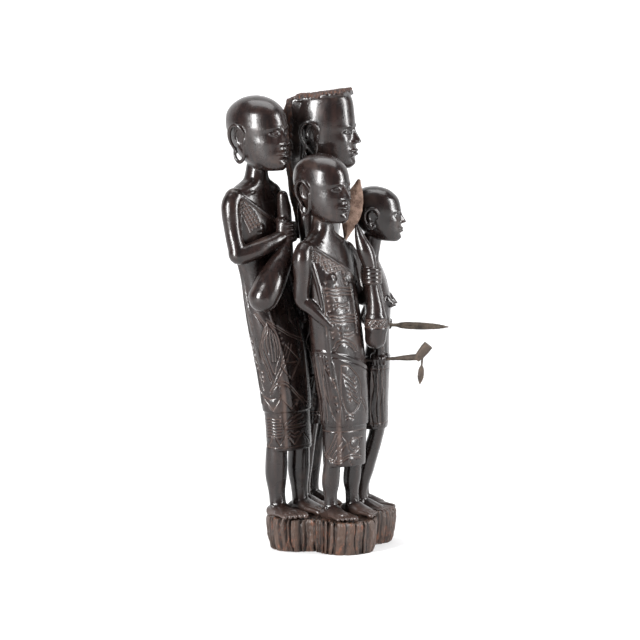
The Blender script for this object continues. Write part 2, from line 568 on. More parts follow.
def man(sizes):
    """The man, made the same way, with the log's flat end over his head and down his back."""
    spine = [(0, 0, 0), (60, 4, 2), (100, 7, 3), (167, 10, 4), (260, 10, 3), (310, 11, 3), (330, 12, 3),
             (345, 14, 3)]
    m = Figure((-21.0, 21.0), sizes.base_height / MM, -20, sizes.man_height / MM, 401.0, spine)
    m.legs(knee_u=86, hem_u=84, spread=12.5, radius=7.4)
    m.trunk([(84, 22, 14, 0), (88, 23, 15, 0), (130, 26, 17, 0), (165, 28, 18, -1), (200, 27, 16.5, 0),
             (228, 25, 14.5, 0), (262, 30, 16, 0), (290, 33, 16.5, 0), (305, 34, 14.5, 0), (315, 29, 12.5, 0),
             (322, 19, 11.5, 0), (328, 11.5, 10.5, 0), (346, 10, 10.5, 1)])
    place, size, _, left, _ = head(m, (15, 3), 332, 72, outline=SQUARED_OUTLINE)
    for rows, side_square in ((RAW_BACK, 7.0), (RAW_TOP, 7.0)):
        m.clay.tube([(*place(*r[:3]), *(size * v for v in r[3:])) for r in rows], across=left, square=side_square,
                    sides=64, steps=14, rounded=False)
    m.head_place, m.head_size = place, size
    m.edge(262, 312, -85, 1.6)
    m.edge(128, 150, 60, 1.5)
    m.ridge([(-150, 250), (-148, 200), (-145, 140)], 2.0)
    m.limb((0, -29, 303, 9.5), (0, -36, 292, 9.2), (2, -37, 272, 8.2), (6, -35, 252, 7.6), (14, -31, 240, 7.2),
           (24, -24, 246, 6.2), (29, -19, 251, 5.6))
    m.limb((0, 29, 303, 9.5), (0, 36, 292, 9.2), (-2, 37.8, 268, 8.0), (-3, 37.8, 243, 7.3), (2, 36, 218, 6.6),
           (8, 33, 198, 5.6), (10, 32, 188, 6.6, 4.2))
    fist(m.clay, m.by_spine(*LEAF_GRIP), LEAF_WAY, -m.left + m.forward * 0.2, 3.4, 1.0)
    return m


def axe_woman(sizes):
    """The young woman, made the same way, with bent knees and both fists closed round sticks."""
    spine = [(0, 0, 0), (30, 1.5, 0), (50, 8.5, 0), (66, 12.5, 0), (85, 13.5, 0), (130, 12, 0), (170, 14, 0),
             (205, 14, 0), (232, 9, 0), (245, 6, 0), (265, 8, 0)]
    w = Figure((32.5, 14.0), sizes.base_height / MM - 3.0, -5, sizes.axe_woman_height / MM, 312.0, spine)
    w.legs(knee_u=78, hem_u=82, spread=10.5, radius=7.0)
    w.trunk([(82, 19, 11.5, -2.5), (86, 20, 12.5, -2), (115, 21.5, 13.5, -1.5), (140, 21.5, 14, -1),
             (160, 18.5, 11.5, 0), (176, 17.5, 11, 0), (200, 20, 12.5, 0), (222, 22, 12.5, 0), (234, 22, 11, 0),
             (241, 17, 9.5, 0),
             (246, 11, 8.6, 0), (252, 8.2, 8.4, 0), (272, 7.8, 8.6, 1)])
    w.edge(146, 154, -60, 1.6)
    w.ridge([(-62, 146), (-56, 118), (-48, 88)], 1.8)
    w.ridge([(-96, 148), (-100, 118), (-104, 88)], 1.6)
    w.ridge([(-78, 146), (-76, 118), (-74, 88)], 1.2)
    head(w, (13, 0), 264, 53, lobes=False)
    for side in (-1, 1):
        w.limb((4, side * 9, 212, 6.0), (9, side * 10, 207, 6.0), (13, side * 10.5, 204, 3.8))
        w.limb((15, side * 10.6, 203.5, 1.9), (17, side * 10.7, 203, 1.4))
    w.limb((0, -19, 232, 7.0), (0, -24, 224, 7.0), (1, -26, 206, 6.4), (2, -27, 186, 5.8), (3, -27, 172, 5.0),
           (4, -26.5, 161, 4.6), (4, -26, 155, 5.0))
    w.limb((0, 19, 232, 7.0), (-1, 24, 224, 7.0), (-6, 27, 206, 6.2), (-13, 28, 190, 5.8), (-14, 28, 184, 5.6),
           (-6, 27, 181, 5.0), (0, 26, 179, 4.6))
    fist(w.clay, w.by_spine(*AXE_GRIP), AXE_WAY, (0, -0.5, 1.0), 2.8, 0.86)
    fist(w.clay, w.by_spine(*KNIFE_GRIP), KNIFE_WAY, (0, 0.5, 1.0), 3.2, 0.8)
    return w


# Chisel work on the robes: each pattern gives how deep the cut is, from 0 to 1, on s round the body and u up it


def bead_net(s, below, pitch):
    """Square beads in rows: cuts between lines pitch apart both ways."""
    return np.maximum(stripe(repeat(s, pitch), pitch * 0.3), stripe(repeat(below, pitch), pitch * 0.3))


def curves(t, u, paths, width, steps=6):
    """Chisel cuts along curves through (t, u): the section of a cut, on the distance to the nearest stretch of a
    curve."""
    cut = np.zeros(len(t))
    for path in paths:
        line = smooth_rows(path, steps)
        low, high = line.min(0) - width, line.max(0) + width
        near = np.flatnonzero((t > low[0]) & (t < high[0]) & (u > low[1]) & (u < high[1]))
        step = np.diff(line, axis=0)
        x, y = t[near, None] - line[:-1, 0], u[near, None] - line[:-1, 1]
        along = np.clip((x * step[:, 0] + y * step[:, 1]) / (step**2).sum(1), 0, 1)
        distance = np.hypot(x - along * step[:, 0], y - along * step[:, 1]).min(axis=1)
        cut[near] = np.maximum(cut[near], stripe(distance, width))
    return cut


def beside(path, right, up=0.0):
    """The same curve again, moved, so that a raised line is left between the two cuts."""
    return [(t + right, u + up) for t, u in path]


def notches(t, u, places, size):
    """Small triangular notches at (t, u)."""
    cut = np.zeros(len(t))
    for x, y in places:
        near = np.flatnonzero((np.abs(t - x) < size) & (np.abs(u - y) < size))
        cut[near] = np.maximum(cut[near], notch(t[near] - x, u[near] - y, size))
    return cut


def column(t, u, pitch, count, lean=0.0):
    """The places of count notches, one below the other."""
    return [(t + lean * k, u - pitch * k) for k in range(count)]


def lines(u, *heights, width=0.65):
    """Level cuts at the heights given."""
    return np.maximum.reduce([stripe(u - at, width) for at in heights])


def wave(t, u, middle, swing, pitch, width):
    """A chisel cut that goes up and down as a sine of t."""
    return stripe((u - middle - swing * np.sin(t * math.tau / pitch)) * 0.8, width)


def neckline(angle, low, high, high_at):
    """The height of a slanted edge: a cosine of the angle, highest at high_at."""
    return (high + low) / 2 + (high - low) / 2 * np.cos(np.radians(angle - high_at))


def hatch(s, u, slope, pitch):
    """Leaning cuts, pitch apart."""
    return stripe(repeat(s + u * slope, pitch), pitch * 0.2)


def cloth_share(off):
    """1 on the robe itself and 0 on arms, gourds and what else stands off it."""
    return 1 - ramp(np.abs(off), 2.2, 3.6)


SEEN_FROM = -90.0  # the side that the cut patterns are laid out on, in degrees from +X


def around(figure, angle, radius):
    """Distance round the robe in mm at its mean radius, from the side that is seen, repeated on the hidden side."""
    degrees = (angle - (SEEN_FROM - figure.facing) + 90) % 180 - 90
    return np.radians(degrees) * radius


def tall_woman_cut(figure, points):
    """Bead net and strap at the chest, a long leaf and a diamond on the skirt, and teeth round the lower tier."""
    u, _, angle, off = figure.cloth(points)
    t = around(figure, angle, 24.0)
    below = neckline(angle, 262, 313, -85) - u

    along, across = (t + 16) * 0.376 - (u - 318) * 0.927, (t + 16) * 0.927 + (u - 318) * 0.376
    net = bead_net(across, along, 3.5) * ((across > 1.2) & (across < 12.6) & (along > 3) & (along < 44) & (below > 3))
    strap = stripe(across, 1.0) * (along > 0) * (along < 46) * (below > 0)
    border = stripe(below - 2.6, 0.8) * (u > 255)

    fold = [(-14, 198), (-5, 184), (-13, 171), (-17, 160), (-13, 146), (-9, 132)]
    feather = [(-1, 190), (-10, 177), (-12, 166), (-8, 152), (-4, 140), (-1, 147), (5, 160), (6, 176), (-1, 190)]
    band = [(-1, 192), (11, 183), (22, 175), (33, 170)]
    sweep = [(15, 168), (9, 155), (1, 142), (-6, 131), (-12, 123)]
    arch = [(-12, 122), (-3, 131), (7, 132), (15, 123), (25, 109)]
    loops = [(-30, 126), (-22, 118), (-14, 115), (-6, 116)]
    cuts = curves(t, u, [fold, beside(fold, 2.6), feather, band, beside(band, 0, -2.6), sweep, beside(sweep, 2.8, -1),
                         arch, beside(arch, 0, -3), loops, [(-3, 184), (-7, 170), (-7, 160)],
                         [(-1, 183), (-3, 168), (-4, 152)], [(1, 182), (1, 167), (-1, 152)],
                         [(3, 178), (3.5, 166), (2, 156)], [(-22, 200), (-20, 184), (-24, 168)],
                         [(24, 200), (22, 190), (27, 180)]], 0.85)
    sharp = curves(t, u, [[(12, 167), (23, 151), (13, 134), (4, 148), (12, 167)], [(6, 150), (22, 150)],
                          [(-24, 119), (-10, 104)], [(-10, 104), (0, 117)], [(0, 117), (11, 105)],
                          [(11, 105), (21, 116)], [(21, 116), (29, 106)]], 0.85, steps=1)
    strokes = curves(t, u, [[(-33 + k * 1.6, 182 - k * 9), (-26 + k * 1.4, 168 - k * 9)] for k in range(6)], 0.8, 1)
    pricks = notches(t, u, column(9, 178, 5, 3, 0.3) + column(0.5, 128.5, 5.2, 3, 0.3) + column(-2.5, 98, 4.2, 3)
                     + column(16, 113, 4, 2) + column(25, 160, 4.4, 3) + column(-18, 141, 4.4, 3), 3.0)
    skirt = np.maximum.reduce([cuts, sharp, strokes]) * (u > 103) * (u < 205)

    wrinkles = stripe(repeat(u - 0.5 * np.sin(t / 3.2), 2.9), 0.75) * (t < 0) * ((u > 76) & (u < 97)) * 0.8
    right = curves(t, u, [[(2, 90), (11, 96), (22, 99)], [(3, 86), (12, 92), (24, 95)], [(2, 88.5), (26, 89)],
                          [(2, 86), (26, 86.5)], [(6, 81), (10, 82.4), (14, 80.6), (19, 82)],
                          [(6, 77.5), (10, 78.9), (14, 77.1), (19, 78.5)]], 0.8)
    teeth = curves(t, u, [[(-33, 80), (-22, 67.5)], [(-22, 67.5), (-12, 80)], [(-12, 80), (-4, 70)],
                          [(-4, 70), (5, 80)], [(5, 80), (13, 70)], [(13, 70), (23, 81)], [(23, 81), (33, 70)]],
                   0.85, steps=1)
    tier = np.maximum.reduce([wrinkles, right, teeth, lines(u, 67.6)]) * ((u > 65.5) & (u < 101))
    valley = 1.3 * stripe(t - 3.0, 4.2) * ramp(u, 64, 70) * (1 - ramp(u, 118, 150))
    cut = np.maximum.reduce([net, strap, border, skirt, pricks, tier])
    return (cut + valley) * cloth_share(off) * (u > 65) * (u < 314)


def girl_cut(figure, points):
    """Bead nets at the chest, wave bands at the waist, a lens and a veined leaf on the skirt, loops lower down."""
    u, _, angle, off = figure.cloth(points)
    t = around(figure, angle, 23.0)
    below = neckline(angle, 222, 266, -85) - u
    inside = np.hypot(t - 11.5, u - 247.5) < 10.0
    tilted_t, tilted_u = t + 0.14 * u, u - 0.14 * t
    net = bead_net(tilted_t, tilted_u, 3.9) * inside
    fringe = bead_net(t + below * 0.4, below, 3.6) * ((below > 5.5) & (below < 14) & (t > -16) & (t < 3))
    neck = np.maximum(stripe(below - 2.2, 0.75), stripe(below - 5.0, 0.75)) * (t > -20)

    pricks = notches(t, u, column(11, 234, 5, 3) + column(20, 237, 5, 3) + column(2, 229, 5, 3, -0.4)
                     + column(1, 212, 4.8, 3) + column(9, 212.5, 4.6, 2) + column(18, 203, 4.6, 2)
                     + column(8, 186, 5, 3) + column(15, 185, 4.4, 2) + column(1, 187, 5, 3)
                     + column(-8, 154, 4, 3, 0.4) + column(-3, 137, 3.8, 3, 0.4) + column(17, 137, 4.2, 3)
                     + column(-1, 66.5, 3.6, 3) + column(11, 56, 3, 2, 1.5) + column(-12, 59, 3, 2, -1.5), 2.8)
    wedges = notches(t, u, column(-3.5, 119, 6.2, 3, 0.6) + column(11, 121, 5, 2), 4.0)
    bands = np.maximum.reduce([wave(t, u, at, 0.5, 13.0, 0.8) for at in (223, 219.8, 216.6, 197.4, 194.2, 191.0)])
    bands = bands * (t > -1) * (t < 27)
    torso = curves(t, u, [[(6, 208), (10, 209.4), (14, 207.6), (19, 209)],
                          [(6, 204.6), (10, 206), (14, 204.2), (19, 205.6)],
                          [(12, 181), (16, 180), (20, 181.4)], [(12, 178), (16, 177), (20, 178.4)],
                          [(0, 167), (4, 173), (12, 174.5), (19, 170), (22, 163)],
                          [(2, 165), (6, 170), (12, 171), (17, 167.5), (20, 162)], [(-2, 226), (-3, 205), (-5, 180)],
                          [(25, 226), (25, 205), (24, 180)]], 0.8)
    hem = neckline(angle, 139, 163, -75)
    lens = [(-11, 150), (-15, 131), (-10, 108), (-2, 94), (1, 112), (-1, 128), (-7, 141), (-11, 150)]
    leaf = [(6, 150), (15, 147), (23, 128), (18, 108), (9, 104), (3, 122), (6, 150)]
    veins = [[(6 + k * 1.2, 143 - k * 5.5), (17 + k * 0.4, 134 - k * 5.5)] for k in range(5)]
    bars = [[(6, 101 - k * 3.2), (10, 102.4 - k * 3.2), (14, 101 - k * 3.2)] for k in range(2)]
    skirt = curves(t, u, [lens, leaf, *bars, [(-21, 158), (-19, 130), (-20, 96)], [(-17, 158), (-16, 130), (-15, 96)],
                          [(22, 118), (27, 112), (30, 104)], [(22, 114), (26, 108), (29, 100)]], 0.85)
    skirt = np.maximum(skirt, curves(t, u, veins, 0.7, 1)) * ((u > 93) & (u < hem - 3))
    loops = np.maximum(stripe(np.hypot(t - 16, u - 74) - 5.2, 0.8),
                       stripe(np.hypot((t - 19) * 1.3, u - 63) - 4.6, 0.8))
    swing = [(-24, 62), (-12, 56.5), (-3, 54.5), (6, 59), (14, 61), (24, 58)]
    tier = curves(t, u, [[(-21, 62), (-13, 72), (-6, 84)], [(-18, 59), (-10, 70), (-3, 82)],
                         [(-14, 58), (-5, 69), (2, 76)], [(-10, 56), (-2, 66), (5, 72)],
                         [(-2, 67), (7, 73), (15, 77), (25, 79)],
                         [(1, 82), (7, 76), (9, 69), (14, 64), (22, 68)], swing, beside(swing, 0, 2.6)], 0.8)
    tier = np.maximum.reduce([tier, loops, lines(u, 85.6)]) * ((u > 53.5) & (u < 88))
    valley = 1.2 * stripe(t + 2.0, 4.0) * ramp(u, 52, 58) * (1 - ramp(u, 84, 110))
    folds = stripe(repeat(t, 2.7), 0.75) * ((t < -24) & (u > 95) & (u < hem - 3)) * 0.8
    cut = np.maximum.reduce([net, fringe, neck, pricks, wedges, bands, torso, skirt, tier, folds])
    cut = (cut + valley) * cloth_share(off) * (below > 0.5)
    return np.maximum(cut, gourd_band(figure, points))


def gourd_band(figure, points):
    """A band of leaning cuts between two lines, round the belly of the girl's gourd."""
    middle = (figure.by_spine(24.8, 30.7, 187.5) - figure.foot) / figure.scale
    rel = (points - figure.foot) / figure.scale - middle
    ahead, left, up = rel @ figure.forward, rel @ figure.left, rel[:, 2]
    s = np.arctan2(left, ahead) * 11
    cuts = np.maximum.reduce([hatch(s, up, 1.1, 3.4), hatch(s, up, -1.1, 6.8), lines(up, -3.6, 3.6)])
    return cuts * (np.hypot(ahead, left) < 14.5) * (np.abs(up) < 4.3)


def man_cut(figure, points):
    """Two folds, diamonds and small notches, mostly hidden behind the others."""
    u, _, angle, off = figure.cloth(points)
    t = around(figure, angle, 22.0)
    diamond = [(0, 190), (10, 165), (0, 140), (-10, 165), (0, 190)]
    fold = [(-20, 240), (-17, 205), (-22, 165), (-19, 120)]
    cuts = curves(t, u, [fold, beside(fold, 3), beside(fold, 38, -6), beside(fold, 41, -6)], 0.85)
    cuts = np.maximum(cuts, curves(t, u, [diamond, beside(diamond, 0, -58)], 0.85, 1))
    pricks = notches(t, u, column(0, 171, 5, 3) + column(0, 113, 5, 3) + column(12, 140, 5, 3), 3.0)
    return np.maximum.reduce([cuts, pricks, lines(u, 96.0, 93.0)]) * cloth_share(off) * ((u > 88) & (u < 245))


def axe_woman_cut(figure, points):
    """Waving folds in the wrap, and hatching round the near forearm."""
    u, _, angle, off = figure.cloth(points)
    t = around(figure, angle, 17.0)
    folds = [[(-14 + k * 5, 144), (-11 + k * 5, 126), (-15 + k * 5.4, 104), (-12 + k * 5, 86)] for k in range(6)]
    wrap = np.maximum(curves(t, u, folds, 0.9), lines(u, 88.5, 141.5)) * cloth_share(off) * ((u > 84) & (u < 144))
    spot = (figure.by_spine(3, -27, 186) - figure.foot) / figure.scale
    rel = (points - figure.foot) / figure.scale - spot
    arm = (np.hypot(rel @ figure.forward, rel @ figure.left) < 8.5) & (np.abs(rel[:, 2] + 4) < 20)
    return np.maximum(wrap, 0.5 * hatch(rel @ figure.forward, rel[:, 2], 0.5, 2.6) * arm)


def carver(figure, cut_of, depth, grain_seed, raw_of=None):
    """The carving of one figure: chisel cuts, soft tool marks, and the raw log's fissures where it was left."""

    def carve(points):
        """Height along the normal in mm, and the shares cut in and left raw."""
        cut = cut_of(figure, points)
        raw = raw_of(figure, points) if raw_of else np.zeros(len(points))
        marks = (clouds(points, 7.0, grain_seed) - 0.5) * 0.28
        fissures = clouds(points * np.array([1, 1, 0.22]), 2.0, 5) * 1.3 + clouds(points, 1.1, 6) * 0.7
        dust = 0.75 * (1 - ramp(points[:, 2], figure.foot[2] + 1, figure.foot[2] + 13))
        return marks * (1 - raw) - depth * cut * (1 - raw) - raw * fissures, np.clip(np.maximum(cut, dust), 0, 1), raw

    return carve


def man_raw(figure, points):
    """The share that is left uncut: the flat top of the head, and the strip down its back and neck."""
    rel = (points - figure.head_place(0, 0, 0)) / figure.head_size
    f, u = rel @ figure.forward, rel[:, 2]
    ragged = 0.05 * (clouds(points, 4.0, 51) - 0.5) + 0.03 * (clouds(points, 1.5, 52) - 0.5)
    top = ramp(u - 0.18 * f + ragged, 0.955, 0.970)
    back = ramp(-f - 0.12 * np.clip(u, -0.9, 0) + ragged, 0.350, 0.365)
    return np.maximum(top * (u > 0.6), back) * ramp(u, -0.95, -0.75)


# The base


def base_outline(angle, lobes, reach=7.0):
    """How far the base goes from its middle: the furthest of its lobes at each angle, softly joined."""
    total = np.zeros_like(angle)
    for x, y, radius in lobes:
        along = x * np.cos(angle) + y * np.sin(angle)
        off = radius**2 - (x * x + y * y - along**2)
        edge = along + np.sqrt(np.clip(off, 0, None))
        total += np.where(off > 0, np.exp(edge / reach), 0)
    return np.log(total) * reach - 3.0


def base_mesh(sizes, lobes):
    """The base on the angle round it and a path from the middle of the underside, up the side, to the middle of the
    top. Gouge cuts of uneven width, depth and length wander up the side, and the rim and the top are worked rough.
    Also gives how rubbed each point is, from 0 in the cuts to 1."""
    height, pitch, depth = sizes.base_height / MM, sizes.gouge_pitch / MM, sizes.gouge_depth / MM
    turns = 1500
    angle = np.linspace(0, math.tau, turns, endpoint=False)
    edge = base_outline(angle, lobes) - 0.7
    length = np.cumsum(np.hypot(edge * math.tau / turns, np.gradient(edge)))
    levels = np.array([(0, -5.0, 0.7), (0.03, -4.6, 1), (0.25, -2.2, 1), (0.6, -0.5, 1), (0.84, 0.0, 1),
                       (0.92, -0.3, 1.0), (0.97, -1.1, 0.9), (1.0, -2.6, 0.7)])
    rows = smooth_rows(levels, 12)
    z, inset, carved = np.clip(rows[:, 0], 0, 1) * height, rows[:, 1], rows[:, 2]
    flat_x, flat_y = edge * np.cos(angle), edge * np.sin(angle)
    spots = np.stack(np.broadcast_arrays(flat_x, flat_y, z[:, None]), -1).reshape(-1, 3)

    def noise(size, seed, stretch=1.0):
        """Smooth noise over the side, stretched up it."""
        return clouds(spots * np.array([1, 1, stretch]), size, seed).reshape(len(z), turns)

    rng = np.random.default_rng(11)
    cuts = round(length[-1] / pitch)
    shares = rng.uniform(0.4, 1.6, cuts)
    borders = np.concatenate([[0], np.cumsum(shares) / shares.sum() * length[-1]])
    round_it = (length[None] + (noise(13.0, 25) - 0.5) * 3.4) % length[-1]
    index = np.clip(np.searchsorted(borders, round_it, side="right") - 1, 0, cuts - 1)
    width = np.diff(borders)[index]
    inside = (round_it - borders[index]) / width
    nearest = np.where(inside < 0.5, index, (index + 1) % cuts)
    from_groove = np.minimum(inside, 1 - inside) * width
    deep = rng.uniform(0.35, 1.45, cuts)[nearest] * (0.35 + 1.3 * noise(8.0, 26, 0.6))
    hollow = bump(from_groove, rng.uniform(0.7, 1.9, cuts)[nearest]) * deep
    lean = rng.uniform(-1, 1, cuts)[index]
    facet = lean * (inside - 0.5) * width * 0.22 + (noise(3.4, 27, 0.3) - 0.5) * 1.1
    nick = 1 + 0.9 * bump(z[:, None] / height - 0.93 - 0.04 * lean, 0.07)
    nick = nick + 0.5 * bump(z[:, None] / height - 0.12 - 0.05 * lean, 0.08)
    side = edge[None] + inset[:, None] + carved[:, None] * (np.minimum(facet, 0.5) - depth * hollow * nick)

    shares_in = np.linspace(1, 0.02, 70)[1:]
    fade = np.clip(1 - (1 - shares_in[:, None]) * 7, 0, 1)
    top = side[-1] * shares_in[:, None]
    under = (edge - 5.0 - depth * 0.8 * hollow[0])[None] * shares_in[::-1][:, None]
    r = np.vstack([under, side, top])
    z = np.concatenate([np.zeros(len(under)), z, np.full(len(top), height)])
    rings = np.stack([r * np.cos(angle), r * np.sin(angle), np.broadcast_to(z[:, None], r.shape)], -1)
    flat = rings.reshape(-1, 3)
    rough = (clouds(flat, 5.0, 21) - 0.5) * 1.5 - 1.7 * np.abs(clouds(flat, 6.5, 23) - 0.5)
    rough = rough + (clouds(flat * np.array([1, 1, 0.22]), 1.3, 22) - 0.5) * 1.2
    rough = rough + (clouds(flat, 1.9, 24) - 0.5) * 0.7
    strokes = np.stack([np.broadcast_to(length / 2.6, r.shape), r / 8.0, 0 * r], -1).reshape(-1, 3)
    strokes = clouds(strokes, 1.0, 28).reshape(r.shape) - 0.6
    rough = rough.reshape(r.shape)
    up = ramp(z, height * 0.93, height)[:, None]
    body = ramp(z, 0.0, 2.0)[:, None]
    rim = len(under) + len(side)
    worked = np.minimum(rough + 1.5 * strokes, 0.6)
    chips = np.zeros_like(r)
    worn_rim = clouds(flat, 4.0, 29).reshape(r.shape)[rim:]
    chips[rim:] = -1.7 * np.minimum(hollow[-1], 1.2) * fade - 0.9 * fade * worn_rim
    rubbed = np.full_like(r, 0.25)
    rubbed[len(under):rim] = np.clip(0.85 - 1.5 * hollow * np.minimum(nick, 1.3) + 0.5 * facet, 0, 1)
    rubbed[rim:] = np.clip(0.30 + 0.45 * fade + 0.35 * worked[rim:], 0, 1)
    rings[..., 2] += worked * up + chips
    out = np.minimum(rough, 0.3) * (1 - up) * body * 0.6
    rings[..., 0] += out * np.cos(angle)
    rings[..., 1] += out * np.sin(angle)
    return rings, rubbed


# Loose pieces


def shaved(name, clay, seed):
    """A loose piece as a knife leaves it: flats up to 0.25 mm deep, long fibres, and its skin kept inside the
    solid."""
    def carve(points):
        """Noise in blobs for the flats, and stretched along the piece for the fibres."""
        stretched = points * LOOSE_FIBRE[name]
        height = -0.25 * np.abs(clouds(points, 4.5, seed) - 0.5) * 2 - 0.12 * clouds(stretched, 1.1, seed + 1)
        return height, np.zeros(len(points)), np.ones(len(points))

    return fused(name, clay, 0.34, carve, limit=MOST_LOOSE, soften=2)


# How much closer together the fibres lie across a piece than along it
LOOSE_FIBRE = {"leaf_blade_wood": (1, 1, 0.12), "knife_wood": (0.12, 1, 1), "axe_handle_wood": (0.12, 1, 1),
               "axe_blade_wood": (1, 1, 0.12)}


def stick_rows(grip, way, spans):
    """Rows of a stick or blade: each span is the distance from the grip, and the half sizes along across and beside
    it."""
    grip, way = np.asarray(grip, float), unit(np.asarray(way, float))
    return [(*(grip + way * reach), wide, thick) for reach, wide, thick in spans]


def leaf_clay(sizes):
    """A short stem that opens into a flat leaf; its half width is a sine of the way along, and its section a low
    rhomb."""
    grip = man(sizes).by_spine(*LEAF_GRIP)
    clay = Clay()
    spans = [(reach, 1.85, 1.85) for reach in (-10, -4, 4, 10)]
    for share in np.linspace(0.12, 0.97, 14):
        half = max(10.0 * math.sin(math.pi * share) ** 0.85, 1.9)
        spans.append((10 + 60 * share, half, 2.0 * (1.0 - 0.35 * share)))
    clay.tube(stick_rows(grip, LEAF_WAY, spans), across=(1, 0, -LEAF_WAY[0]), sides=48, steps=6, square=1.4)
    return clay


def knife_clay(sizes):
    """A round grip and a flat blade with a ridge down each side."""
    grip = axe_woman(sizes).by_spine(*KNIFE_GRIP)
    spans = [(-10.8, 1.95, 1.95), (-6, 1.95, 1.95), (6, 1.95, 1.95), (13.2, 1.95, 1.95)]
    for share, wide, deep in ((0.08, 0.8, 1.0), (0.2, 0.97, 1.0), (0.35, 1.0, 1.0), (0.6, 0.9, 0.85),
                              (0.82, 0.6, 0.6), (0.98, 0.12, 0.3)):
        spans.append((13.2 + 53 * share, 3.9 * wide, 1.8 * deep))
    clay = Clay()
    clay.tube(stick_rows(grip, KNIFE_WAY, spans), across=(0, 0, 1), sides=48, steps=12, square=1.3)
    return clay


def axe_elbow(sizes):
    """Where the fist grips the axe, the way its handle points, and the elbow where its wedge turns up."""
    way = unit(np.array(AXE_WAY))
    grip = axe_woman(sizes).by_spine(*AXE_GRIP)
    return grip, way, grip + way * 38


def axe_clay(sizes):
    """A thin grip that thickens to its neck, and a wedge turned up from it with a flat end."""
    grip, way, elbow = axe_elbow(sizes)
    clay = Clay()
    spans = [(-16, 1.6, 1.6), (-6, 1.6, 1.6), (6, 1.6, 1.6), (16, 1.9, 1.9), (24, 2.6, 2.6), (34, 3.2, 3.2),
             (37, 3.2, 3.2)]
    clay.tube(stick_rows(grip, way, spans), across=(0, 0, 1), sides=32, steps=8)
    rise = unit(np.array([0.62, 0, 0.78]))
    spans = [(-3.4, 2.9, 3.8), (1.9, 4.1, 5.0), (9.3, 4.7, 5.4), (15.3, 4.7, 5.3)]
    clay.tube(stick_rows(elbow, rise, spans), across=(1, 0, -0.6), sides=48, steps=8, square=4.5, rounded=False)
    return clay


def hanging_blade_clay(sizes):
    """A small leaf on a tang that goes up through the foot of the axe's wedge."""
    top = axe_elbow(sizes)[2] + np.array([4.0, 0, 5.0])
    neck = top + np.array([-1.0, 0, -13.0])
    clay = Clay()
    rows = [(*top, 1.1, 1.1), (*(top + np.array([-0.6, 0, -9.0])), 1.1, 1.1), (*neck, 1.1, 1.1)]
    spans = [(2.4, 2.4, 1.0), (6, 3.1, 1.1), (12.4, 3.0, 1.0), (19, 0.5, 0.4)]
    rows += stick_rows(neck, (-0.09, 0, -1.0), spans)
    clay.tube(rows, across=(1, 0, 0), sides=32, steps=10, square=1.5)
    return clay


# Materials


def add(tree, kind, settings=None, links=None, **attributes):
    """Adds a node, sets its sockets and links them."""
    node = tree.nodes.new(kind)
    for key, value in attributes.items():
        setattr(node, key, value)
    for key, value in (settings or {}).items():
        node.inputs[key].default_value = value
    for key, source in (links or {}).items():
        tree.links.new(source, node.inputs[key])
    return node


def new_material(name, **shader_settings):
    """A material with its tree and its shader, whose sockets are set by name."""
    material = bpy.data.materials.new(name)
    material.use_nodes = True
    tree = material.node_tree
    shader = tree.nodes["Principled BSDF"]
    for key, value in shader_settings.items():
        shader.inputs[key.replace("_", " ")].default_value = value
    return material, tree, shader


def colour_ramp(tree, source, stops):
    """Colours at positions from 0 to 1 of what source gives."""
    node = add(tree, "ShaderNodeValToRGB", links={"Fac": source})
    elements = node.color_ramp.elements
    elements[0].position, elements[0].color = stops[0]
    elements[1].position, elements[1].color = stops[-1]
    for position, colour in stops[1:-1]:
        elements.new(position).color = colour
    return node.outputs["Color"]


def mix(tree, share, a, b):
    """Colour a going over to colour b by share; each may be a socket or a value."""
    node = add(tree, "ShaderNodeMix", data_type="RGBA")
    for index, value in ((0, share), (6, a), (7, b)):
        if isinstance(value, bpy.types.NodeSocket):
            tree.links.new(value, node.inputs[index])
        else:
            node.inputs[index].default_value = value
    return node.outputs[2]


def maths(tree, operation, a, b=0.0, clamp=False):
    """A sum on two sockets or numbers."""
    node = add(tree, "ShaderNodeMath", operation=operation, use_clamp=clamp)
    for index, value in ((0, a), (1, b)):
        if isinstance(value, bpy.types.NodeSocket):
            tree.links.new(value, node.inputs[index])
        else:
            node.inputs[index].default_value = value
    return node.outputs[0]


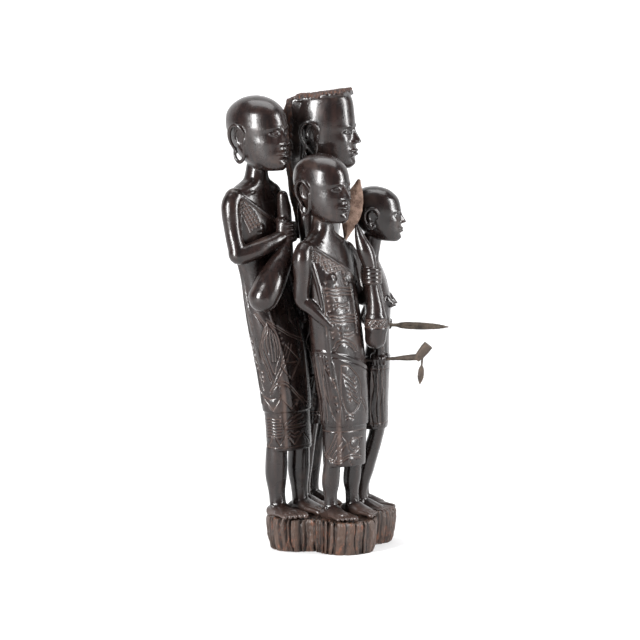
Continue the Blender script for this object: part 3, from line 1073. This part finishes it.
def ebony(sizes):
    """Ebony, carved, rubbed and waxed: near black with warm streaks along the grain, a soft polish on the high
    places, and brown dust and bare wood left in the cuts. Streaks are about 4 mm wide and pores 0.5 mm."""
    material, tree, shader = new_material("waxed ebony", IOR=1.38, Coat_Weight=0.28, Coat_Roughness=0.13)
    where = add(tree, "ShaderNodeTexCoord").outputs["Object"]
    grain = add(tree, "ShaderNodeMapping", {"Scale": (250.0, 250.0, 28.0)}, {"Vector": where}).outputs[0]
    streaks = add(tree, "ShaderNodeTexNoise", {"Scale": 1.0, "Detail": 6.0, "Distortion": 0.6}, {"Vector": grain})
    patches = add(tree, "ShaderNodeTexNoise", {"Scale": 55.0, "Detail": 4.0}, {"Vector": where})
    pores_at = add(tree, "ShaderNodeMapping", {"Scale": (1900.0, 1900.0, 240.0)}, {"Vector": where}).outputs[0]
    pores = add(tree, "ShaderNodeTexNoise", {"Scale": 1.0, "Detail": 2.0}, {"Vector": pores_at})
    cut = add(tree, "ShaderNodeAttribute", attribute_name="cut").outputs["Fac"]
    raw = add(tree, "ShaderNodeAttribute", attribute_name="raw").outputs["Fac"]
    dark = colour_ramp(tree, streaks.outputs["Fac"],
                       [(0.36, tuple(sizes.ebony_dark)), (0.72, tuple(sizes.ebony_warm))])
    worn_share = colour_ramp(tree, patches.outputs["Fac"], [(0.60, (0, 0, 0, 1)), (0.80, (0.35, 0.35, 0.35, 1))])
    body = mix(tree, worn_share, dark, tuple(sizes.ebony_worn))
    specks = add(tree, "ShaderNodeTexNoise", {"Scale": 420.0, "Detail": 3.0, "Roughness": 0.6}, {"Vector": where})
    dusty = maths(tree, "ADD", maths(tree, "MULTIPLY", patches.outputs["Fac"], 0.8), 0.1)
    in_cut = maths(tree, "MULTIPLY", cut, dusty, clamp=True)
    body = mix(tree, in_cut, body, tuple(sizes.ebony_worn))
    long_specks = add(tree, "ShaderNodeMapping", {"Scale": (430.0, 430.0, 110.0)}, {"Vector": where}).outputs[0]
    flecks = add(tree, "ShaderNodeTexNoise", {"Scale": 1.0, "Detail": 6.0, "Roughness": 0.7}, {"Vector": long_specks})
    bark = colour_ramp(tree, flecks.outputs["Fac"], [(0.46, tuple(sizes.ebony_warm)), (0.72, tuple(sizes.bark))])
    tree.links.new(mix(tree, raw, body, bark), shader.inputs["Base Color"])
    rough = maths(tree, "MULTIPLY_ADD", patches.outputs["Fac"], 0.34)
    rough.node.inputs[2].default_value = 0.09
    rough = maths(tree, "ADD", rough, maths(tree, "MULTIPLY", cut, 0.22))
    rough = maths(tree, "ADD", rough, maths(tree, "MULTIPLY", raw, 0.35), clamp=True)
    tree.links.new(rough, shader.inputs["Roughness"])
    tree.links.new(maths(tree, "SUBTRACT", 0.28, maths(tree, "MULTIPLY", raw, 0.28)), shader.inputs["Coat Weight"])
    relief = maths(tree, "ADD", pores.outputs["Fac"], maths(tree, "MULTIPLY", specks.outputs["Fac"], 1.2))
    bumps = add(tree, "ShaderNodeBump", {"Strength": 0.22, "Distance": 0.0004}, {"Height": relief})
    tree.links.new(bumps.outputs[0], shader.inputs["Normal"])
    return material


def gouged_ebony(sizes):
    """The same wood left from the gouge: browner and dull, with rubbed edges, dust in the hollows, and orange
    flecks about 1.5 mm wide and 5 mm long where its fibres are torn."""
    material, tree, shader = new_material("gouged ebony", IOR=1.46)
    where = add(tree, "ShaderNodeTexCoord").outputs["Object"]
    grain = add(tree, "ShaderNodeMapping", {"Scale": (420.0, 420.0, 60.0)}, {"Vector": where}).outputs[0]
    streaks = add(tree, "ShaderNodeTexNoise", {"Scale": 1.0, "Detail": 8.0, "Roughness": 0.65}, {"Vector": grain})
    patches = add(tree, "ShaderNodeTexNoise", {"Scale": 60.0, "Detail": 5.0, "Roughness": 0.6}, {"Vector": where})
    torn_at = add(tree, "ShaderNodeMapping", {"Scale": (380.0, 380.0, 120.0)}, {"Vector": where}).outputs[0]
    torn = add(tree, "ShaderNodeTexNoise", {"Scale": 1.0, "Detail": 7.0, "Roughness": 0.7}, {"Vector": torn_at})
    wood = colour_ramp(tree, streaks.outputs["Fac"], [(0.34, tuple(sizes.base_dark)), (0.70, tuple(sizes.base_warm))])
    rubbed = add(tree, "ShaderNodeAttribute", attribute_name="rubbed").outputs["Fac"]
    lit = maths(tree, "MULTIPLY", rubbed, maths(tree, "ADD", streaks.outputs["Fac"], 0.15), clamp=True)
    wood = mix(tree, lit, wood, tuple(sizes.base_rubbed))
    fleck = maths(tree, "MULTIPLY", torn.outputs["Fac"], maths(tree, "ADD", patches.outputs["Fac"], 0.5))
    share = colour_ramp(tree, fleck, [(0.56, (0, 0, 0, 1)), (0.72, (0.75, 0.75, 0.75, 1))])
    tree.links.new(mix(tree, share, wood, tuple(sizes.base_orange)), shader.inputs["Base Color"])
    rough = maths(tree, "MULTIPLY_ADD", streaks.outputs["Fac"], 0.34)
    rough.node.inputs[2].default_value = 0.28
    tree.links.new(rough, shader.inputs["Roughness"])
    relief = maths(tree, "ADD", streaks.outputs["Fac"], torn.outputs["Fac"])
    bumps = add(tree, "ShaderNodeBump", {"Strength": 0.6, "Distance": 0.0007}, {"Height": relief})
    tree.links.new(bumps.outputs[0], shader.inputs["Normal"])
    return material


def fibrous(name, dark, light):
    """Unwaxed wood shaved with a knife: matte, with fine fibres about 0.4 mm wide and broad soft patches."""
    material, tree, shader = new_material(name, IOR=1.45, Roughness=0.72)
    where = add(tree, "ShaderNodeTexCoord").outputs["Object"]
    fibres = add(tree, "ShaderNodeTexNoise", {"Scale": 900.0, "Detail": 5.0, "Roughness": 0.7}, {"Vector": where})
    patches = add(tree, "ShaderNodeTexNoise", {"Scale": 130.0, "Detail": 4.0}, {"Vector": where})
    share = maths(tree, "MULTIPLY", maths(tree, "ADD", fibres.outputs["Fac"], patches.outputs["Fac"]), 0.5)
    wood = colour_ramp(tree, share, [(0.40, dark), (0.60, light)])
    tree.links.new(wood, shader.inputs["Base Color"])
    bumps = add(tree, "ShaderNodeBump", {"Strength": 0.35, "Distance": 0.0003}, {"Height": fibres.outputs["Fac"]})
    tree.links.new(bumps.outputs[0], shader.inputs["Normal"])
    return material


def grey_wood(sizes):
    """The knife: grey-brown wood, darkened by handling."""
    return fibrous("grey raw wood", tuple(sizes.raw_dark), tuple(sizes.raw_light))


def brown_wood(sizes):
    """The axe: the same wood, browner and darker, because it faces the light and has been handled more."""
    return fibrous("brown raw wood", tuple(sizes.axe_dark), tuple(sizes.axe_light))


def red_wood(sizes):
    """The leaf: a redder and lighter wood, dry and matte."""
    return fibrous("reddish raw wood", tuple(sizes.leaf_dark), tuple(sizes.leaf_light))


def plain_floor(sizes):
    """White paper sweep, lit from behind as a light table is, more so away from the lamps: no texture, and hardly a
    shadow. The glow goes from 0.28 within 0.4 m of the carving to 0.85 from 2.4 m away."""
    material, tree, shader = new_material("matte floor", Roughness=0.9)
    where = add(tree, "ShaderNodeTexCoord").outputs["Object"]
    away = add(tree, "ShaderNodeVectorMath", links={0: where}, operation="LENGTH").outputs["Value"]
    glow = add(tree, "ShaderNodeMapRange", {"From Min": 0.4, "From Max": 2.4, "To Min": 0.28, "To Max": 0.85},
               {"Value": away})
    tree.links.new(glow.outputs[0], shader.inputs["Emission Strength"])
    shader.inputs["Emission Color"].default_value = (1, 1, 1, 1)
    shader.inputs["Base Color"].default_value = tuple(sizes.floor)
    return material


def material_for(sizes, name, make):
    """The material of that name, made once."""
    return bpy.data.materials.get(name) or make(sizes)


# Settings


def length(name, description, default):
    """A length in metres that a user may change."""
    return bpy.props.FloatProperty(name=name, description=description, default=default, min=0.0, precision=5,
                                   unit="LENGTH")


def colour(name, description, default):
    """A colour that a user may change, given as an sRGB hex value."""
    return bpy.props.FloatVectorProperty(name=name, description=description, default=hex_linear(default),
                                         size=4, min=0.0, max=1.0, subtype="COLOR")


class EbonySizes(bpy.types.PropertyGroup):
    """Sizes and colours of the carving."""
    base_height: length("Base height", "Height of the base", 0.033)
    gouge_pitch: length("Gouge pitch", "Mean width of a gouge cut", 0.0068)
    gouge_depth: length("Gouge depth", "Depth of a gouge cut", 0.0016)
    tall_woman_height: length("Tall woman", "Height above the base", 0.404)
    girl_height: length("Girl", "Height above the base", 0.350)
    man_height: length("Man", "Height above the base", 0.401)
    axe_woman_height: length("Axe woman", "Height above the base", 0.312)
    cut_depth: length("Cut depth", "Depth of the chisel cuts in the robes", 0.00075)
    skin_grain: length("Skin grain", "Finest detail kept when the forms are fused", 0.00058)
    ebony_dark: colour("Ebony, dark", "Main colour of the waxed wood", "#110C0B")
    ebony_warm: colour("Ebony, warm", "Streaks along the grain", "#211613")
    ebony_worn: colour("Ebony, worn", "Bare wood in cuts and on edges", "#54423A")
    bark: colour("Bark", "Raw edge of the log", "#633D2A")
    base_dark: colour("Base, dark", "Hollows of the base", "#0F0A08")
    base_warm: colour("Base, warm", "Streaks of the base", "#2E211A")
    base_rubbed: colour("Base, rubbed", "Flats of the base", "#4A372C")
    base_orange: colour("Base, orange", "Torn fibres of the base", "#74452E")
    raw_dark: colour("Grey wood, dark", "Fibres of the knife", "#2C251F")
    raw_light: colour("Grey wood, light", "Knife", "#5C5146")
    axe_dark: colour("Axe wood, dark", "Fibres of the axe", "#1F1813")
    axe_light: colour("Axe wood, light", "Axe", "#43372D")
    leaf_dark: colour("Leaf wood, dark", "Fibres of the leaf", "#4A3428")
    leaf_light: colour("Leaf wood, light", "Leaf", "#8F7667")
    floor: colour("Floor", "Floor and backdrop", "#BEBEBE")


def settle(piece, material, slot_name, *nodes):
    """Gives a finished piece its material, its slot, its body and the node that it stands for."""
    piece.data.materials.clear()
    piece.data.materials.append(material)
    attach(piece, "root")
    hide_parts(*nodes)


def build_figure(context, name, figure_of, cut_of, seed, raw_of=None):
    """Fuses one figure, carves it and settles it as a part of the carved group."""
    sizes = context.scene.ebony_sizes
    figure = figure_of(sizes)
    grain = sizes.skin_grain / MM * 1.0
    carve = carver(figure, cut_of, sizes.cut_depth / MM, seed, raw_of)
    piece = fused("carved_group_" + name, figure.clay, grain, carve)
    settle(piece, material_for(sizes, "waxed ebony", ebony), "ebony", "carved_group")


class EBONY_OT_base(bpy.types.Operator):
    """Adds the rough lobed base"""
    bl_idname = "ebony.base"
    bl_label = "Base"

    def execute(self, context):
        sizes = context.scene.ebony_sizes
        clay = Clay()
        rings, rubbed = base_mesh(sizes, BASE_LOBES)
        clay.skin(rings)
        piece = bpy.data.objects.new("carved_group_base", clay.mesh("carved_group_base"))
        context.scene.collection.objects.link(piece)
        attribute = piece.data.attributes.new("rubbed", "FLOAT", "POINT")
        attribute.data.foreach_set("value", np.append(rubbed.ravel(), (0.35, 0.35)).astype(np.float32))
        if len(piece.data.polygons) > MOST_TRIANGLES:
            thin = piece.modifiers.new("thin", "DECIMATE")
            thin.ratio = MOST_TRIANGLES / len(piece.data.polygons)
            baked(piece)
        piece.data.shade_smooth()
        settle(piece, material_for(sizes, "gouged ebony", gouged_ebony), "ebony", "carved_group")
        return {"FINISHED"}


class EBONY_OT_tall_woman(bpy.types.Operator):
    """Adds the robed woman with a long gourd"""
    bl_idname = "ebony.tall_woman"
    bl_label = "Tall woman"

    def execute(self, context):
        build_figure(context, "tall_woman", tall_woman, tall_woman_cut, 31)
        return {"FINISHED"}


class EBONY_OT_girl(bpy.types.Operator):
    """Adds the robed girl with a gourd"""
    bl_idname = "ebony.girl"
    bl_label = "Girl"

    def execute(self, context):
        build_figure(context, "girl", girl, girl_cut, 32)
        return {"FINISHED"}


class EBONY_OT_man(bpy.types.Operator):
    """Adds the man with the log's raw edge over his head"""
    bl_idname = "ebony.man"
    bl_label = "Man"

    def execute(self, context):
        build_figure(context, "man", man, man_cut, 33, man_raw)
        return {"FINISHED"}


class EBONY_OT_axe_woman(bpy.types.Operator):
    """Adds the young woman who holds the axe and the knife"""
    bl_idname = "ebony.axe_woman"
    bl_label = "Axe woman"

    def execute(self, context):
        build_figure(context, "axe_woman", axe_woman, axe_woman_cut, 34)
        return {"FINISHED"}


class EBONY_OT_loose_pieces(bpy.types.Operator):
    """Gives the leaf blade, the knife and the axe their raw wood"""
    bl_idname = "ebony.loose_pieces"
    bl_label = "Loose pieces"

    def execute(self, context):
        sizes = context.scene.ebony_sizes
        grey = material_for(sizes, "grey raw wood", grey_wood)
        red = material_for(sizes, "reddish raw wood", red_wood)
        brown = material_for(sizes, "brown raw wood", brown_wood)
        for node, clay_of, seed, wood in (
            ("leaf_blade", leaf_clay, 41, red),
            ("knife", knife_clay, 43, grey),
            ("axe_handle", axe_clay, 45, brown),
            ("axe_blade", hanging_blade_clay, 47, brown),
        ):
            settle(shaved(node + "_wood", clay_of(sizes), seed), wood, "raw_wood", node)
        return {"FINISHED"}


class EBONY_OT_stage(bpy.types.Operator):
    """Adds the floor, the soft lights and the camera"""
    bl_idname = "ebony.stage"
    bl_label = "Stage"

    def execute(self, context):
        scene = context.scene
        sizes = scene.ebony_sizes
        bend = np.linspace(0.1, 1.57, 14)
        depth = np.concatenate([np.linspace(-12.0, 3.0, 12), 3.0 + 1.5 * np.sin(bend), [4.5, 4.5]])
        rise = np.concatenate([np.zeros(12), 1.5 * (1 - np.cos(bend)), [3.0, 7.0]])
        x = np.linspace(-12, 12, 9)
        grid = np.stack([np.broadcast_to(x, (len(depth), 9)), np.broadcast_to(depth[:, None], (len(depth), 9)),
                         np.broadcast_to(rise[:, None], (len(depth), 9))], -1)
        rows, columns = grid.shape[:2]
        i, j = np.meshgrid(np.arange(rows - 1), np.arange(columns - 1), indexing="ij")
        a = (i * columns + j).ravel()
        faces = np.vstack([np.stack([a, a + 1, a + columns + 1], -1),
                           np.stack([a, a + columns + 1, a + columns], -1)])
        floor = bpy.data.objects.new("floor", mesh_from_arrays("floor", grid.reshape(-1, 3) / MM, faces))
        floor.data.shade_smooth()
        floor.data.materials.append(material_for(sizes, "matte floor", plain_floor))
        scene.collection.objects.link(floor)

        world = bpy.data.worlds.new("white room")
        world.use_nodes = True
        world.node_tree.nodes["Background"].inputs["Color"].default_value = (0.88, 0.86, 1.0, 1)
        world.node_tree.nodes["Background"].inputs["Strength"].default_value = 0.15
        scene.world = world
        scene.view_settings.view_transform = "Standard"
        for name, place, turn, size, power in (
            ("left softbox", (-1.2, -1.4, 0.85), (72, 0, -41), (0.44, 1.2), 96),
            ("right softbox", (1.65, -0.55, 0.85), (74, 0, 72), (0.40, 1.4), 60),
            ("top softbox", (0.0, 0.3, 1.9), (0, 0, 0), (1.6, 1.0), 26),
        ):
            light = bpy.data.lights.new(name, "AREA")
            light.shape = "RECTANGLE"
            light.size, light.size_y, light.energy = *size, power
            lamp = bpy.data.objects.new(name, light)
            lamp.location = place
            lamp.rotation_euler = [math.radians(v) for v in turn]
            scene.collection.objects.link(lamp)

        camera = bpy.data.cameras.new("camera")
        camera.sensor_width = 36.0
        camera.lens = CAMERA_FOCUS_PX / PICTURE_PX * camera.sensor_width
        eye = bpy.data.objects.new("camera", camera)
        eye.location = CAMERA_AT
        eye.rotation_euler = (math.pi / 2 - math.atan2(CAMERA_AT[2] - CAMERA_LOOKS_AT_Z, -CAMERA_AT[1]), 0, 0)
        scene.collection.objects.link(eye)
        scene.camera = eye
        return {"FINISHED"}


STEPS = (EBONY_OT_base, EBONY_OT_tall_woman, EBONY_OT_girl, EBONY_OT_man, EBONY_OT_axe_woman,
         EBONY_OT_loose_pieces, EBONY_OT_stage)


class EBONY_PT_panel(bpy.types.Panel):
    """Lists the pieces of the carving"""
    bl_idname = "EBONY_PT_panel"
    bl_label = "Ebony figure group"
    bl_space_type = "VIEW_3D"
    bl_region_type = "UI"
    bl_category = "Ebony"

    def draw(self, context):
        for step in STEPS:
            self.layout.operator(step.bl_idname)
        for name in EbonySizes.__annotations__:
            self.layout.prop(context.scene.ebony_sizes, name)


CLASSES = (EbonySizes, *STEPS, EBONY_PT_panel)


def register():
    """Makes the classes known and hangs the settings on the scene."""
    for item in CLASSES:
        bpy.utils.register_class(item)
    bpy.types.Scene.ebony_sizes = bpy.props.PointerProperty(type=EbonySizes)


def unregister():
    """Undoes register."""
    del bpy.types.Scene.ebony_sizes
    for item in reversed(CLASSES):
        bpy.utils.unregister_class(item)


def main():
    """Builds everything in order."""
    register()
    for step in STEPS:
        group, name = step.bl_idname.split(".")
        getattr(getattr(bpy.ops, group), name)()


if __name__ == "__main__":
    main()
